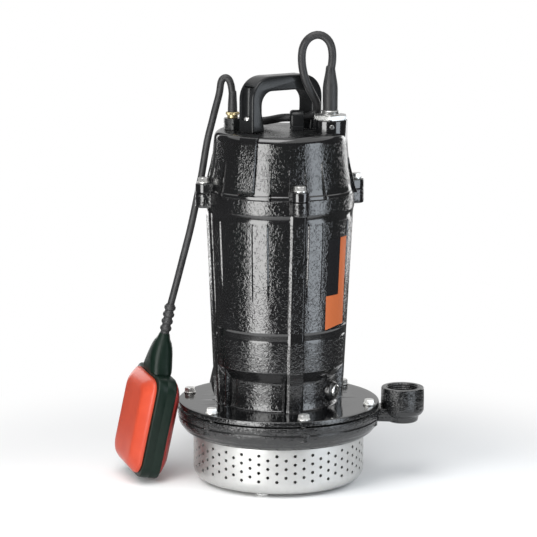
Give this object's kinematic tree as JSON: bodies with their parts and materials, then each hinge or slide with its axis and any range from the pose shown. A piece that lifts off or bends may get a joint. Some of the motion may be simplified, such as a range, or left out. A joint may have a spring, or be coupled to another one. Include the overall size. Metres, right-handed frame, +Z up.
{
  "type": "submersible sump pump",
  "caption": "Submersible sump pump: cast motor casing on a perforated strainer, top carry handle, upright side discharge socket and a float switch on a tether.",
  "frame": {"origin": "the pump's axis at floor level, in the middle of the strainer's pressed bottom", "axes": "+Z up the pump's axis to the handle, +X towards the discharge socket, -Y is the front"},
  "size_m": [0.3288, 0.375, 0.4738],
  "materials": {
    "black_paint": "gloss black enamel over a cast orange-peel skin",
    "stainless": "satin stainless",
    "polished_steel": "polished stainless",
    "steel": "turned steel",
    "cast_iron": "bare casting",
    "brass": "machined brass",
    "copper": "varnished copper winding",
    "black_plastic": "satin black nylon",
    "black_rubber": "dull black rubber",
    "rim_plastic": "dark green-black plastic",
    "float_red": "red-orange plastic",
    "ceramic": "seal face",
    "pale_can": "drawn aluminium can"
  },
  "bodies": {
    "pump": {"bearing_bracket": "cast_iron", "capacitor": "pale_can", "casing_gasket": "black_rubber", "cord_boot": "black_rubber", "cord_clamp": "black_plastic", "cord_coil": "black_rubber", "cord_tail": "black_rubber", "cover_bolt_1": "stainless", "cover_bolt_2": "stainless", "cover_bolt_3": "stainless", "cover_bolt_4": "stainless", "cover_seal_ring": "black_rubber", "flange_bolt_1": "stainless", "flange_bolt_2": "stainless", "flange_bolt_3": "stainless", "flange_bolt_4": "stainless", "flange_bolt_5": "stainless", "flange_bolt_6": "stainless", "float_boot": "black_rubber", "float_gland_base": "black_plastic", "float_gland_nut": "brass", "gland_lock_screw": "polished_steel", "gland_nut": "polished_steel", "handle": "black_plastic", "handle_screw_1": "stainless", "handle_screw_2": "stainless", "lower_bearing": "steel", "motor_housing": "black_paint", "oil_chamber_cover": "cast_iron", "oil_plug": "stainless", "plug_blade_1": "brass", "plug_blade_2": "brass", "plug_body": "black_rubber", "plug_ground_pin": "brass", "power_cord": "black_rubber", "pump_casing": "black_paint", "seal_stationary_ring": "ceramic", "stator_core": "steel", "strainer": "stainless", "strainer_screw_1": "stainless", "strainer_screw_2": "stainless", "strainer_screw_3": "stainless", "suction_cover": "cast_iron", "top_cover": "black_paint", "upper_bearing": "steel", "winding_lower": "copper", "winding_upper": "copper"},
    "rotor": {"shaft": "steel", "rotor_core": "steel", "impeller": "brass", "impeller_nut": "stainless", "seal_rotating_head": "ceramic"},
    "float": {"float_cord": "black_rubber", "float_grommet": "rim_plastic", "float_rim": "rim_plastic", "float_front_shell": "float_red", "float_back_shell": "float_red", "float_switch": "black_plastic"},
    "switch_ball": {"float_ball": "steel"}
  },
  "joints": [
    {"name": "rotor_spin", "type": "hinge", "parent": "pump", "child": "rotor", "pos_m": [0, 0, 0.2], "axis": [0, 0, 1], "continuous": true},
    {"name": "float_swing", "type": "hinge", "parent": "pump", "child": "float", "pos_m": [-0.0594, 0, 0.422], "axis": [0, 1, 0], "range_deg": [0, 120]},
    {"name": "switch_ball_roll", "type": "slide", "parent": "float", "child": "switch_ball", "axis": [0.1994, 0, 0.9799], "range_m": [0, 0.02]}
  ]
}
